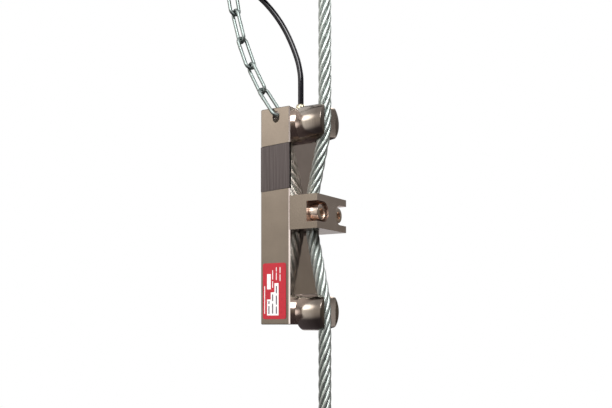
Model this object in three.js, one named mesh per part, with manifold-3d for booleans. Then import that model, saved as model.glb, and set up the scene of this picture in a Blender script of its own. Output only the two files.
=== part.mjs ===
// Clamp-on load cell for a wire rope: a steel bar with two grooved posts that hold the rope
// out, a cap that clamps the rope back against the bar, a signal cable and a safety chain.
// Millimetres, +Z up along the rope, +X from the bar towards the rope, -Y the labelled front.
// The origin is the centre of the clamped rope, half way up the cap.
import * as THREE from "three";
import { mergeVertices } from "three/addons/utils/BufferGeometryUtils.js";
import Module from "manifold-3d";

const wasm = await Module();
wasm.setup();

// ---------- driving dimensions ----------
const GAP = 0.3; // between pieces that touch
const CHAMFER = 0.6;

const ROPE_DIAMETER = 10.4;
const ROPE_AT_POSTS = 14; // how far the posts hold the rope out from the clamped line
const ROPE_TOP = 190;
const ROPE_BOTTOM = -170;

const BODY_WIDTH = 29; // X
const BODY_DEPTH = 48; // Y
const BODY_HEIGHT = 180; // Z
const BODY_BOTTOM = -92;
const BODY_TOP = BODY_BOTTOM + BODY_HEIGHT;
const FACE_X = -(ROPE_DIAMETER / 2 + GAP); // the bar's polished side face
const BACK_X = FACE_X - BODY_WIDTH;
const FRONT_Y = -BODY_DEPTH / 2;
const BODY_MIDDLE_X = FACE_X - BODY_WIDTH / 2;

const POST_DIAMETER = 31;
const POST_REACH = 24.5; // from the side face to the post's end
const POST_CENTRES = { upper_post: 76.5, lower_post: -81.5 };
const POST_SHANK_DIAMETER = 14;
const POST_SHANK_LENGTH = 16.4;
const POST_SOCKET_DEPTH = 17;
const POST_SCREW = { headDiameter: 13, headHeight: 3.6, seatDepth: 5.4, washer: 1, length: 17 };
const GROOVE_HALF_ANGLE = Math.PI / 6;
const GROOVE_FLAT = 0.75; // half width of the groove's bottom

const CAP_REACH = 26.4; // from the side face to the cap's end
const CAP_HEIGHT = 28;
const SCREW_SPACING = 28; // between the two clamp screws, along Y
const SCREW_DIAMETER = 8;
const SCREW_HEAD_DIAMETER = 13.3;
const SCREW_HEAD_HEIGHT = 8;
const SCREW_LENGTH = 32;
const COUNTERBORE_DIAMETER = 16.6;
const COUNTERBORE_DEPTH = 10.1;
const TAPPED_HOLE_DEPTH = 22;

const COVER = { height: 38, middle: 38.5, skew: 1.7, thickness: 1.2 };
const SEAL_THICKNESS = 0.8;
const RECESS_DEPTH = 2.4;
const POCKET = { width: 20, low: 25, high: 52, floorY: FRONT_Y + 10 };

const LABEL = { width: 23, height: 46.5, middleX: -20.4, middleZ: -64.2, corner: 1.8, thickness: 0.3 };

const CABLE_DIAMETER = 5;
const CABLE_BORE_DIAMETER = 5.7;
const GLAND = { x: -20, y: 16.5, stub: 12, collarDiameter: 9, collarHeight: 5.4, nutHeight: 5.2 };
const GLAND_HOLE_DIAMETER = 7;

const CHAIN_WIRE = 3;
const CHAIN_OUTER_LENGTH = 32;
const CHAIN_OUTER_WIDTH = 11.4;
const CHAIN_START = new THREE.Vector3(-17.9, -22, 82.1); // middle of the first link's lower crown
const CHAIN_LEANS = [35, 28.5, 21.6, 16, 11]; // degrees from upright towards -X
const CHAIN_FIRST_ROLL = 25; // degrees, then a quarter turn from link to link
const CHAIN_HOLE = { diameter: 7, x: -18.9, z: 80.4 }; // where its axis meets the front face

const QUICK_LINK = { wire: 4, length: 40, width: 16, opening: 11, sleeveDiameter: 8, sleeveLength: 15 };

const TERMINAL = { sleeveDiameter: 17, sleeveLength: 72, eyeDiameter: 36, eyeThickness: 13, eyeBore: 17 };

const COIL = { x: -36.6, z: 238, meanRadius: 31, halfSection: 10.5 };
const STRAP_WIDTH = 16;
const STRAP_THICKNESS = 1.2;
const CONNECTOR = { x: -9, y: 18.8, top: 253, bodyDiameter: 13, bodyLength: 26, nutDiameter: 15, nutLength: 18 };

// ---------- routes ----------
// The rope runs straight past the posts, bends over each groove and dips to the clamp.
const ROPE_ROUTE = [
  [14, 0, -170], [14, 0, -145], [14, 0, -120], [14, 0, -100], [14, 0, -88], [13.9, 0, -80],
  [13.5, 0, -73.5], [12.5, 0, -67.5], [9.85, 0, -54.5], [7.1, 0, -41.3], [4.3, 0, -27.7],
  [1.45, 0, -14], [0.37, 0, -7], [0, 0, 0], [0.4, 0, 7], [1.55, 0, 14], [4.75, 0, 28.3],
  [7.95, 0, 42.6], [10.85, 0, 55.5], [12.4, 0, 62.5], [13.45, 0, 68.5], [13.9, 0, 75],
  [14, 0, 83], [14, 0, 96], [14, 0, 120], [14, 0, 150], [14, 0, 190],
];
// The signal cable rises out of its gland and leans away to the coil.
const CABLE_ROUTE = [
  [-20, 16.5, 77], [-20, 16.5, 90], [-20, 16.5, 103], [-20, 16.5, 114], [-20.3, 16.5, 125],
  [-22.3, 16.3, 136], [-26, 15.8, 147], [-30.6, 15, 158], [-35.6, 14, 168], [-41.6, 12.4, 178],
  [-48.6, 10, 187.8], [-56, 7, 196.4], [-62.2, 4.4, 201.6], [-68, 2, 206.6],
];
// Its last stretch climbs out of the coil and folds over to the connector.
const TAIL_ROUTE = [
  [-21.4, 0, 279.8], [-16.4, 1, 278], [-12, 4.2, 276.5], [-9.6, 9.2, 275.2], [-9, 14.6, 272],
  [-9, 18.2, 266.4], [-9, 18.8, 260], [-9, 18.8, 253.3],
];

const routeCurve = (points) =>
  new THREE.CatmullRomCurve3(points.map((p) => new THREE.Vector3(...p)), false, "centripetal");
const ropeBetween = (low, high) => routeCurve(ROPE_ROUTE.filter((p) => p[2] >= low && p[2] <= high));

// ---------- solids ----------
function toSolid(geometry) {
  const bare = geometry.index ? geometry.toNonIndexed() : geometry.clone();
  bare.deleteAttribute("normal");
  bare.deleteAttribute("uv");
  const merged = mergeVertices(bare, 1e-4);
  return new wasm.Manifold(new wasm.Mesh({
    numProp: 3,
    vertProperties: new Float32Array(merged.attributes.position.array),
    triVerts: new Uint32Array(merged.index.array),
  }));
}

function toGeometry(solid) {
  const mesh = solid.getMesh();
  const geometry = new THREE.BufferGeometry();
  geometry.setAttribute("position", new THREE.BufferAttribute(new Float32Array(mesh.vertProperties), 3));
  geometry.setIndex(new THREE.BufferAttribute(new Uint32Array(mesh.triVerts), 1));
  geometry.computeVertexNormals();
  return geometry;
}

function cut(geometry, ...tools) {
  let solid = toSolid(geometry);
  for (const tool of tools) solid = solid.subtract(toSolid(tool));
  return toGeometry(solid);
}

function join(...geometries) {
  let solid = toSolid(geometries[0]);
  for (const other of geometries.slice(1)) solid = solid.add(toSolid(other));
  return toGeometry(solid);
}

// A box between two corners.
function boxBetween(low, high) {
  const size = high.map((value, axis) => value - low[axis]);
  const middle = high.map((value, axis) => (value + low[axis]) / 2);
  return new THREE.BoxGeometry(...size).translate(...middle);
}

// A box between two corners with every edge chamfered.
function chamferedBox(low, high, chamfer) {
  const [sx, sy, sz] = high.map((value, axis) => (value - low[axis]) / 2);
  const shape = new THREE.Shape();
  shape.moveTo(chamfer * 2 - sx, chamfer - sy);
  for (const [x, y] of [
    [sx - 2 * chamfer, chamfer - sy], [sx - chamfer, 2 * chamfer - sy],
    [sx - chamfer, sy - 2 * chamfer], [sx - 2 * chamfer, sy - chamfer],
    [2 * chamfer - sx, sy - chamfer], [chamfer - sx, sy - 2 * chamfer],
    [chamfer - sx, 2 * chamfer - sy],
  ]) shape.lineTo(x, y);
  const box = new THREE.ExtrudeGeometry(shape, {
    depth: 2 * (sz - chamfer), bevelEnabled: true, bevelSegments: 1,
    bevelSize: chamfer, bevelThickness: chamfer,
  });
  const middle = high.map((value, axis) => (value + low[axis]) / 2);
  return box.translate(middle[0], middle[1], middle[2] - sz + chamfer);
}

// A turned piece along +Z from [radius, height] pairs that start and end on the axis.
function turned(profile, segments = 32) {
  return new THREE.LatheGeometry(profile.map(([r, z]) => new THREE.Vector2(r, z)), segments)
    .rotateX(Math.PI / 2);
}

// The same, turned about the X axis.
const turnedAlongX = (profile, segments) => turned(profile, segments).rotateY(Math.PI / 2);

function cylinderAlongX(diameter, low, high, y, z, segments = 24) {
  return new THREE.CylinderGeometry(diameter / 2, diameter / 2, high - low, segments)
    .rotateZ(Math.PI / 2).translate((low + high) / 2, y, z);
}

function roundSection(diameter, sides) {
  const shape = new THREE.Shape();
  for (let i = 0; i < sides; i++) {
    const angle = (i / sides) * 2 * Math.PI;
    const point = [(diameter / 2) * Math.cos(angle), (diameter / 2) * Math.sin(angle)];
    if (i) shape.lineTo(...point);
    else shape.moveTo(...point);
  }
  return shape;
}

const tubeAlong = (curve, diameter, sides, steps) =>
  new THREE.ExtrudeGeometry(roundSection(diameter, sides), { steps, extrudePath: curve });

// A bent cutter: a section of [out, across] points carried along a stretch of the rope.
function cutterAlongRope(section, low, high, steps) {
  const shape = new THREE.Shape(section.map(([out, across]) => new THREE.Vector2(-across, out)));
  return new THREE.ExtrudeGeometry(shape, { steps, extrudePath: ropeBetween(low, high) });
}

// ---------- materials ----------
const finish = (color, roughness, metalness) => new THREE.MeshStandardMaterial({ color, roughness, metalness });
const materials = {
  bar: finish(0x857a6f, 0.3, 1),
  post: finish(0x9a9086, 0.2, 1),
  cap: finish(0x857a6f, 0.35, 1),
  screw: finish(0xb5aca4, 0.25, 1),
  cover: finish(0x55504e, 0.5, 0.6),
  seal: finish(0x2a2a2c, 0.8, 0),
  gauge: finish(0xb9853c, 0.5, 0.2),
  board: finish(0x2f6b45, 0.5, 0),
  cores: finish(0xb8b0a0, 0.6, 0),
  gland: finish(0xc9bea2, 0.35, 1),
  label: finish(0xdd2341, 0.35, 0),
  rope: finish(0xa9b0a8, 0.45, 1),
  terminal: finish(0xb8bcbc, 0.3, 1),
  cable: finish(0x131214, 0.25, 0),
  strap: finish(0x1d1d20, 0.9, 0),
  connector: finish(0x222226, 0.4, 0),
  connectorNut: finish(0xb9bbbd, 0.3, 1),
  chain: finish(0xb4bfbd, 0.3, 1),
};

const assembly = new THREE.Group();
function place(name, geometry, material) {
  const mesh = new THREE.Mesh(geometry, material);
  mesh.name = name;
  assembly.add(mesh);
  return mesh;
}

// ---------- bar ----------
// The cover's outline: full width, its two ends slightly out of square.
function coverPlate(inset, yLow, yHigh) {
  const half = COVER.height / 2 - inset;
  const left = BACK_X - (inset ? -inset : 2);
  const right = FACE_X + (inset ? -inset : 2);
  const tilt = COVER.skew / 2;
  const shape = new THREE.Shape();
  shape.moveTo(left, COVER.middle - half - tilt);
  shape.lineTo(right, COVER.middle - half + tilt);
  shape.lineTo(right, COVER.middle + half + tilt);
  shape.lineTo(left, COVER.middle + half - tilt);
  // drawn in X and Z, then stood up so that its thickness runs along Y
  return new THREE.ExtrudeGeometry(shape, { depth: yHigh - yLow, bevelEnabled: false })
    .rotateX(Math.PI / 2).translate(0, yHigh, 0);
}

function pocketBox(inset, yLow, yHigh) {
  return boxBetween(
    [BODY_MIDDLE_X - POCKET.width / 2 + inset, yLow, POCKET.low + inset],
    [BODY_MIDDLE_X + POCKET.width / 2 - inset, yHigh, POCKET.high - inset],
  );
}

// A straight round hole or core between two points.
function rod(from, to, diameter, segments = 16) {
  const a = new THREE.Vector3(...from);
  const b = new THREE.Vector3(...to);
  const piece = new THREE.CylinderGeometry(diameter / 2, diameter / 2, a.distanceTo(b), segments);
  const turn = new THREE.Quaternion().setFromUnitVectors(
    new THREE.Vector3(0, 1, 0), b.clone().sub(a).normalize());
  const middle = a.clone().add(b).multiplyScalar(0.5);
  return piece.applyQuaternion(turn).translate(middle.x, middle.y, middle.z);
}

const recessFloorY = FRONT_Y + RECESS_DEPTH;
const capInnerX = FACE_X + GAP;
const capOuterX = FACE_X + CAP_REACH;
const screwSeatX = capOuterX - COUNTERBORE_DEPTH;
const screwYs = { clamp_screw_front: -SCREW_SPACING / 2, clamp_screw_rear: SCREW_SPACING / 2 };
const CORE_CHANNEL = { from: [GLAND.x, GLAND.y, BODY_TOP - 14], to: [GLAND.x, POCKET.floorY - 2, POCKET.high - 5] };

function loadCellBody() {
  const chainDrop = 14;
  const tools = [
    coverPlate(0, FRONT_Y - 2, recessFloorY),
    pocketBox(0, FRONT_Y - 2, POCKET.floorY),
    rod([CHAIN_HOLE.x, FRONT_Y - chainDrop, CHAIN_HOLE.z - chainDrop],
      [CHAIN_HOLE.x, FRONT_Y + 2 * chainDrop, CHAIN_HOLE.z + 2 * chainDrop], CHAIN_HOLE.diameter, 24),
    rod([GLAND.x, GLAND.y, BODY_TOP - 15], [GLAND.x, GLAND.y, BODY_TOP + 2], GLAND_HOLE_DIAMETER, 24),
    rod(CORE_CHANNEL.from, CORE_CHANNEL.to, 4.2, 12),
  ];
  for (const z of Object.values(POST_CENTRES)) {
    tools.push(cylinderAlongX(POST_SHANK_DIAMETER + 2 * GAP, FACE_X - POST_SOCKET_DEPTH, FACE_X + 2, 0, z, 32));
    tools.push(cylinderAlongX(SCREW_DIAMETER + 2 * GAP, BACK_X - 2, FACE_X - POST_SOCKET_DEPTH + 1, 0, z));
    tools.push(cylinderAlongX(POST_SCREW.headDiameter + 2, BACK_X - 2, BACK_X + POST_SCREW.seatDepth, 0, z, 32));
  }
  for (const y of Object.values(screwYs)) {
    tools.push(cylinderAlongX(SCREW_DIAMETER + 2 * GAP, FACE_X - TAPPED_HOLE_DEPTH, FACE_X + 2, y, 0));
  }
  return cut(chamferedBox([BACK_X, FRONT_Y, BODY_BOTTOM], [FACE_X, -FRONT_Y, BODY_TOP], CHAMFER), ...tools);
}
place("load_cell_body", loadCellBody(), materials.bar);

place("gauge_cover", coverPlate(GAP, FRONT_Y, FRONT_Y + COVER.thickness), materials.cover);

const sealOuter = FRONT_Y + COVER.thickness + 0.2;
place("cover_seal",
  cut(boxBetween([BACK_X + 2, sealOuter, POCKET.low - 4], [FACE_X - 2, sealOuter + SEAL_THICKNESS, POCKET.high + 3]),
    pocketBox(0.5, sealOuter - 1, sealOuter + SEAL_THICKNESS + 1)),
  materials.seal);

// Four foil gauges on the pocket's floor, two and two.
const GAUGE = { width: 5, height: 7, thickness: 0.4, spacingX: 8, spacingZ: 9 };
let gaugeNumber = 0;
for (const column of [-0.5, 0.5]) {
  for (const row of [-0.5, 0.5]) {
    gaugeNumber += 1;
    const x = BODY_MIDDLE_X + column * GAUGE.spacingX;
    const z = 41 + row * GAUGE.spacingZ;
    const floor = POCKET.floorY - 0.15;
    place(`strain_gauge_${gaugeNumber}`,
      boxBetween([x - GAUGE.width / 2, floor - GAUGE.thickness, z - GAUGE.height / 2],
        [x + GAUGE.width / 2, floor, z + GAUGE.height / 2]),
      materials.gauge);
  }
}
place("terminal_board",
  boxBetween([BODY_MIDDLE_X - 8, POCKET.floorY - 2, 26.5], [BODY_MIDDLE_X + 8, POCKET.floorY - 0.4, 31.5]),
  materials.board);
place("signal_cores",
  rod([GLAND.x, 12.56, 71.6], [GLAND.x, POCKET.floorY + 1.5, 49.6], 2.4, 8), materials.cores);

// ---------- posts ----------
const grooveDepth = (ROPE_DIAMETER / 2 + GAP) / Math.sin(GROOVE_HALF_ANGLE);
const grooveMouth = 9;
const grooveSection = [
  [-grooveDepth + GROOVE_FLAT / Math.tan(GROOVE_HALF_ANGLE), -GROOVE_FLAT],
  [grooveMouth, -(grooveDepth + grooveMouth) * Math.tan(GROOVE_HALF_ANGLE)],
  [grooveMouth, (grooveDepth + grooveMouth) * Math.tan(GROOVE_HALF_ANGLE)],
  [-grooveDepth + GROOVE_FLAT / Math.tan(GROOVE_HALF_ANGLE), GROOVE_FLAT],
];

function post(centreZ) {
  const radius = POST_DIAMETER / 2;
  const base = FACE_X + GAP;
  const end = FACE_X + POST_REACH;
  const shank = POST_SHANK_DIAMETER / 2;
  const shankEnd = base - POST_SHANK_LENGTH;
  const profile = [
    [0, shankEnd + 12], [4.3, shankEnd + 12], [4.3, shankEnd], [shank - 0.5, shankEnd],
    [shank, shankEnd + 0.5], [shank, base], [radius, base],
    [radius, end - CHAMFER], [radius - CHAMFER, end], [0, end],
  ];
  const turnedPost = turnedAlongX(profile, 48).translate(0, 0, centreZ);
  return cut(turnedPost, cutterAlongRope(grooveSection, centreZ - 30, centreZ + 30, 16));
}

for (const [name, z] of Object.entries(POST_CENTRES)) {
  place(name, post(z), materials.post);
  const washerTop = BACK_X + POST_SCREW.seatDepth - GAP;
  const washerLow = washerTop - POST_SCREW.washer;
  place(`${name}_washer`,
    cut(cylinderAlongX(POST_SCREW.headDiameter + 0.8, washerLow, washerTop, 0, z, 32),
      cylinderAlongX(SCREW_DIAMETER + 2 * GAP, washerLow - 1, washerTop + 1, 0, z)),
    materials.screw);
  const seat = washerLow - 0.2;
  const head = POST_SCREW.headDiameter / 2;
  const low = seat - POST_SCREW.headHeight;
  const tip = seat + POST_SCREW.length;
  const shank = SCREW_DIAMETER / 2;
  place(`${name}_screw`,
    cut(turnedAlongX([[0, low], [head - 0.5, low], [head, low + 0.5], [head, seat], [shank, seat],
      [shank, tip - 0.5], [shank - 0.5, tip], [0, tip]], 24).translate(0, 0, z),
    cylinderAlongX(5.77, low - 1, low + 2.2, 0, z, 6)),
    materials.screw);
}

// ---------- clamp ----------
// The rope channel in the cap: a round bottom with straight walls back to the bar.
function channelSection() {
  const radius = ROPE_DIAMETER / 2 + GAP;
  const section = [[-12, -radius]];
  for (let i = 0; i <= 10; i++) {
    const angle = -Math.PI / 2 + (i / 10) * Math.PI;
    section.push([radius * Math.cos(angle), radius * Math.sin(angle)]);
  }
  section.push([-12, radius]);
  return section;
}

function clampCap() {
  const tools = [cutterAlongRope(channelSection(), -30, 30, 8)];
  const half = COUNTERBORE_DIAMETER / 2;
  for (const y of Object.values(screwYs)) {
    const side = Math.sign(y);
    const outside = side * (BODY_DEPTH / 2 + 2);
    tools.push(cylinderAlongX(COUNTERBORE_DIAMETER, screwSeatX, capOuterX + 2, y, 0, 40));
    tools.push(boxBetween([screwSeatX, Math.min(y, outside), -half], [capOuterX + 2, Math.max(y, outside), half]));
    tools.push(cylinderAlongX(SCREW_DIAMETER + 2 * GAP, capInnerX - 2, screwSeatX + 1, y, 0));
  }
  const half_height = CAP_HEIGHT / 2;
  return cut(chamferedBox([capInnerX, FRONT_Y, -half_height], [capOuterX, -FRONT_Y, half_height], CHAMFER), ...tools);
}
place("clamp_cap", clampCap(), materials.cap);

// A socket head screw with its head outwards, from the seat in the cap to the tapped hole.
function clampScrew(y) {
  const seat = screwSeatX + 0.2;
  const head = SCREW_HEAD_DIAMETER / 2;
  const shank = SCREW_DIAMETER / 2;
  const tip = seat - SCREW_LENGTH;
  const top = seat + SCREW_HEAD_HEIGHT;
  const screw = turnedAlongX([[0, tip], [shank - 0.6, tip], [shank, tip + 0.6], [shank, seat], [head, seat],
    [head, top - 0.7], [head - 0.7, top], [0, top]], 32).translate(0, y, 0);
  return cut(screw, cylinderAlongX(6.93, top - 4, top + 1, y, 0, 6));
}
for (const [name, y] of Object.entries(screwYs)) place(name, clampScrew(y), materials.screw);

// ---------- label ----------
function roundedRectangle(width, height, corner) {
  const shape = new THREE.Shape();
  const [w, h] = [width / 2, height / 2];
  shape.moveTo(corner - w, -h);
  shape.lineTo(w - corner, -h);
  shape.absarc(w - corner, corner - h, corner, -Math.PI / 2, 0);
  shape.lineTo(w, h - corner);
  shape.absarc(w - corner, h - corner, corner, 0, Math.PI / 2);
  shape.lineTo(corner - w, h);
  shape.absarc(corner - w, h - corner, corner, Math.PI / 2, Math.PI);
  shape.lineTo(-w, corner - h);
  shape.absarc(corner - w, corner - h, corner, Math.PI, 1.5 * Math.PI);
  return shape;
}
place("name_label",
  new THREE.ExtrudeGeometry(roundedRectangle(LABEL.width, LABEL.height, LABEL.corner),
    { depth: LABEL.thickness, bevelEnabled: false, curveSegments: 5 })
    .rotateX(Math.PI / 2).translate(LABEL.middleX, FRONT_Y - 0.1, LABEL.middleZ),
  materials.label);

// ---------- rope and its end fittings ----------
place("wire_rope", tubeAlong(routeCurve(ROPE_ROUTE), ROPE_DIAMETER, 12, 44), materials.rope);

// A pressed sleeve with a flat eye, drawn upright from its mouth at z = 0.
function ropeTerminal() {
  const radius = TERMINAL.sleeveDiameter / 2;
  const length = TERMINAL.sleeveLength;
  const eyeZ = length + TERMINAL.eyeDiameter / 2 - 4;
  const half = TERMINAL.eyeThickness / 2;
  const sleeve = turned([[0, 0], [radius - 2, 0], [radius, 3], [radius, length - 10], [half, length], [0, length]], 32);
  const eye = new THREE.CylinderGeometry(TERMINAL.eyeDiameter / 2, TERMINAL.eyeDiameter / 2, TERMINAL.eyeThickness, 40)
    .translate(0, 0, eyeZ);
  const neck = boxBetween([-half, -half, length - 12], [half, half, eyeZ - TERMINAL.eyeBore / 2 - 2]);
  const bore = new THREE.CylinderGeometry(TERMINAL.eyeBore / 2, TERMINAL.eyeBore / 2, TERMINAL.eyeThickness + 4, 32)
    .translate(0, 0, eyeZ);
  return cut(join(sleeve, eye, neck), bore);
}
const upperTerminal = place("upper_rope_terminal", ropeTerminal(), materials.terminal);
upperTerminal.position.set(ROPE_AT_POSTS, 0, ROPE_TOP + GAP);
const lowerTerminal = place("lower_rope_terminal", ropeTerminal(), materials.terminal);
lowerTerminal.position.set(ROPE_AT_POSTS, 0, ROPE_BOTTOM - GAP);
lowerTerminal.rotation.set(Math.PI, 0, 0);

// ---------- signal cable ----------
const bore = CABLE_BORE_DIAMETER / 2;
const collar = GLAND.collarDiameter / 2;
const collarTop = BODY_TOP + GAP + GLAND.collarHeight;
place("cable_gland",
  turned([[bore, BODY_TOP - GLAND.stub], [3.2, BODY_TOP - GLAND.stub], [3.2, BODY_TOP + GAP], [collar, BODY_TOP + GAP],
    [collar, collarTop], [bore, collarTop], [bore, BODY_TOP - GLAND.stub]], 24).translate(GLAND.x, GLAND.y, 0),
  materials.gland);
const nutTop = collarTop + GAP + GLAND.nutHeight;
place("gland_nut",
  turned([[bore, collarTop + GAP], [collar - 0.2, collarTop + GAP], [collar - 0.2, nutTop - 1.6], [3.5, nutTop],
    [bore, nutTop], [bore, collarTop + GAP]], 24).translate(GLAND.x, GLAND.y, 0),
  materials.gland);

place("signal_cable", tubeAlong(routeCurve(CABLE_ROUTE), CABLE_DIAMETER, 8, 14), materials.cable);
place("cable_tail", tubeAlong(routeCurve(TAIL_ROUTE), CABLE_DIAMETER, 8, 10), materials.cable);

// The coil of spare cable: a round ring standing upright, its axis along Y.
function coilRing() {
  const half = COIL.halfSection;
  const profile = [];
  for (let i = 0; i <= 12; i++) {
    const angle = (i / 12) * 2 * Math.PI;
    const squarer = (value) => Math.sign(value) * Math.abs(value) ** 0.6 * half;
    profile.push([COIL.meanRadius + squarer(Math.cos(angle)), squarer(Math.sin(angle))]);
  }
  profile[12] = [...profile[0]];
  return new THREE.LatheGeometry(profile.map(([r, y]) => new THREE.Vector2(r, y)), 28)
    .translate(COIL.x, 0, COIL.z);
}
place("cable_coil", coilRing(), materials.cable);

// The strap round the coil, the rope's sleeve and the connector.
function coilStrap() {
  const outline = [[-18.3, -11.2], [16, -11.2], [23.2, -6], [23.2, 6], [18, 12], [0, 26], [-14, 26], [-18.3, 20]];
  const centre = [0, 6];
  const grow = (amount) => outline.map(([x, y]) => {
    const away = new THREE.Vector2(x - centre[0], y - centre[1]);
    return new THREE.Vector2(x, y).addScaledVector(away.normalize(), amount);
  });
  const shape = new THREE.Shape(grow(STRAP_THICKNESS));
  shape.holes.push(new THREE.Path(grow(0)));
  return new THREE.ExtrudeGeometry(shape, { depth: STRAP_WIDTH, bevelEnabled: false })
    .translate(0, 0, COIL.z - STRAP_WIDTH / 2);
}
place("coil_strap", coilStrap(), materials.strap);

const connectorRadius = CONNECTOR.bodyDiameter / 2;
const bodyLow = CONNECTOR.top - CONNECTOR.bodyLength;
place("connector_body",
  turned([[0, bodyLow - 12], [4.2, bodyLow - 12], [4.2, bodyLow], [connectorRadius, bodyLow],
    [connectorRadius, CONNECTOR.top - 5], [4.4, CONNECTOR.top], [0, CONNECTOR.top]], 24)
    .translate(CONNECTOR.x, CONNECTOR.y, 0),
  materials.connector);
const nutHigh = bodyLow - GAP;
const nutRadius = CONNECTOR.nutDiameter / 2;
place("connector_nut",
  turned([[4.6, nutHigh], [4.6, nutHigh - 4], [5.6, nutHigh - 4], [5.6, nutHigh - CONNECTOR.nutLength],
    [nutRadius - 1, nutHigh - CONNECTOR.nutLength], [nutRadius, nutHigh - CONNECTOR.nutLength + 1],
    [nutRadius, nutHigh], [4.6, nutHigh]], 24)
    .translate(CONNECTOR.x, CONNECTOR.y, 0),
  materials.connectorNut);

// ---------- safety chain ----------
// The closed centre line of a link: two straights and two half rounds, lower crown at the origin.
class LinkCurve extends THREE.Curve {
  constructor(length, width) {
    super();
    this.radius = width / 2;
    this.straight = length - width;
  }

  getPoint(t, target = new THREE.Vector3()) {
    const arc = Math.PI * this.radius;
    let along = t * 2 * (arc + this.straight);
    if (along < this.straight) return target.set(this.radius, 0, this.radius + along);
    along -= this.straight;
    if (along < arc) {
      const angle = along / this.radius;
      return target.set(this.radius * Math.cos(angle), 0,
        this.radius + this.straight + this.radius * Math.sin(angle));
    }
    along -= arc;
    if (along < this.straight) return target.set(-this.radius, 0, this.radius + this.straight - along);
    const angle = (along - this.straight) / this.radius;
    return target.set(-this.radius * Math.cos(angle), 0, this.radius - this.radius * Math.sin(angle));
  }
}

const radians = (degrees) => (degrees * Math.PI) / 180;

// Stands a link at its lower crown, leaning towards -X and rolled about its own length.
function poseLink(mesh, start, lean, roll) {
  const along = new THREE.Vector3(-Math.sin(radians(lean)), 0, Math.cos(radians(lean)));
  const side = new THREE.Vector3(Math.cos(radians(lean)), 0, Math.sin(radians(lean)));
  const across = new THREE.Vector3(0, 1, 0).multiplyScalar(Math.cos(radians(roll)))
    .addScaledVector(side, Math.sin(radians(roll)));
  const third = along.clone().cross(across);
  mesh.position.copy(start);
  mesh.quaternion.setFromRotationMatrix(new THREE.Matrix4().makeBasis(across, third, along));
  return along;
}

// The next link's crown sits just inside this one's.
function nextStart(start, along, length, lean, nextLean, reach) {
  const between = radians((lean + nextLean) / 2);
  return start.clone().addScaledVector(along, length)
    .addScaledVector(new THREE.Vector3(-Math.sin(between), 0, Math.cos(between)), -reach);
}

const linkLength = CHAIN_OUTER_LENGTH - CHAIN_WIRE;
const linkWidth = CHAIN_OUTER_WIDTH - CHAIN_WIRE;
let start = CHAIN_START.clone();
CHAIN_LEANS.forEach((lean, index) => {
  const geometry = new THREE.TubeGeometry(new LinkCurve(linkLength, linkWidth), 30, CHAIN_WIRE / 2, 8, true);
  const link = place(`chain_link_${index + 1}`, geometry, materials.chain);
  const along = poseLink(link, start, lean, CHAIN_FIRST_ROLL + 90 * (index % 2));
  const nextLean = CHAIN_LEANS[index + 1] ?? lean - 4;
  const reach = index + 1 < CHAIN_LEANS.length ? CHAIN_WIRE : (CHAIN_WIRE + QUICK_LINK.wire) / 2;
  start = nextStart(start, along, linkLength, lean, nextLean, reach + GAP);
});

// The quick link: an oval with a gap in one side, bridged by a threaded sleeve.
const quickLinkCurve = new LinkCurve(QUICK_LINK.length - QUICK_LINK.wire, QUICK_LINK.width - QUICK_LINK.wire);
const quickMiddle = (QUICK_LINK.length - QUICK_LINK.wire) / 2;
const quickSide = (QUICK_LINK.width - QUICK_LINK.wire) / 2;
const quickLean = CHAIN_LEANS.at(-1) - 4;
const quickRoll = CHAIN_FIRST_ROLL + 90 * (CHAIN_LEANS.length % 2);
const quickLink = place("quick_link",
  cut(new THREE.TubeGeometry(quickLinkCurve, 32, QUICK_LINK.wire / 2, 8, true),
    boxBetween([quickSide - 4, -4, quickMiddle - 2.5], [quickSide + 4, 4, quickMiddle + 2.5])),
  materials.chain);
poseLink(quickLink, start, quickLean, quickRoll);

const sleeveRadius = QUICK_LINK.sleeveDiameter / 2;
const sleeveBore = QUICK_LINK.wire / 2 + GAP;
const sleeveLow = quickMiddle - QUICK_LINK.sleeveLength / 2;
const sleeveHigh = quickMiddle + QUICK_LINK.sleeveLength / 2;
const sleeve = place("quick_link_sleeve",
  turned([[sleeveBore, sleeveLow], [sleeveRadius, sleeveLow], [sleeveRadius, sleeveHigh], [sleeveBore, sleeveHigh],
    [sleeveBore, sleeveLow]], 6).translate(quickSide, 0, 0),
  materials.chain);
poseLink(sleeve, start, quickLean, quickRoll);

export default assembly;
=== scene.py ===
"""A clamp-on load cell for a wire rope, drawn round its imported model.

Everything is in metres in the model's frame: +Z up along the rope, +X from the bar towards the
rope, -Y the labelled front. Steel, printed label, stranded rope, cable, chain and strap are each
made in mesh code, with procedural materials.
"""

import math

import bmesh
import bpy
from mathutils import Matrix, Vector


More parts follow.
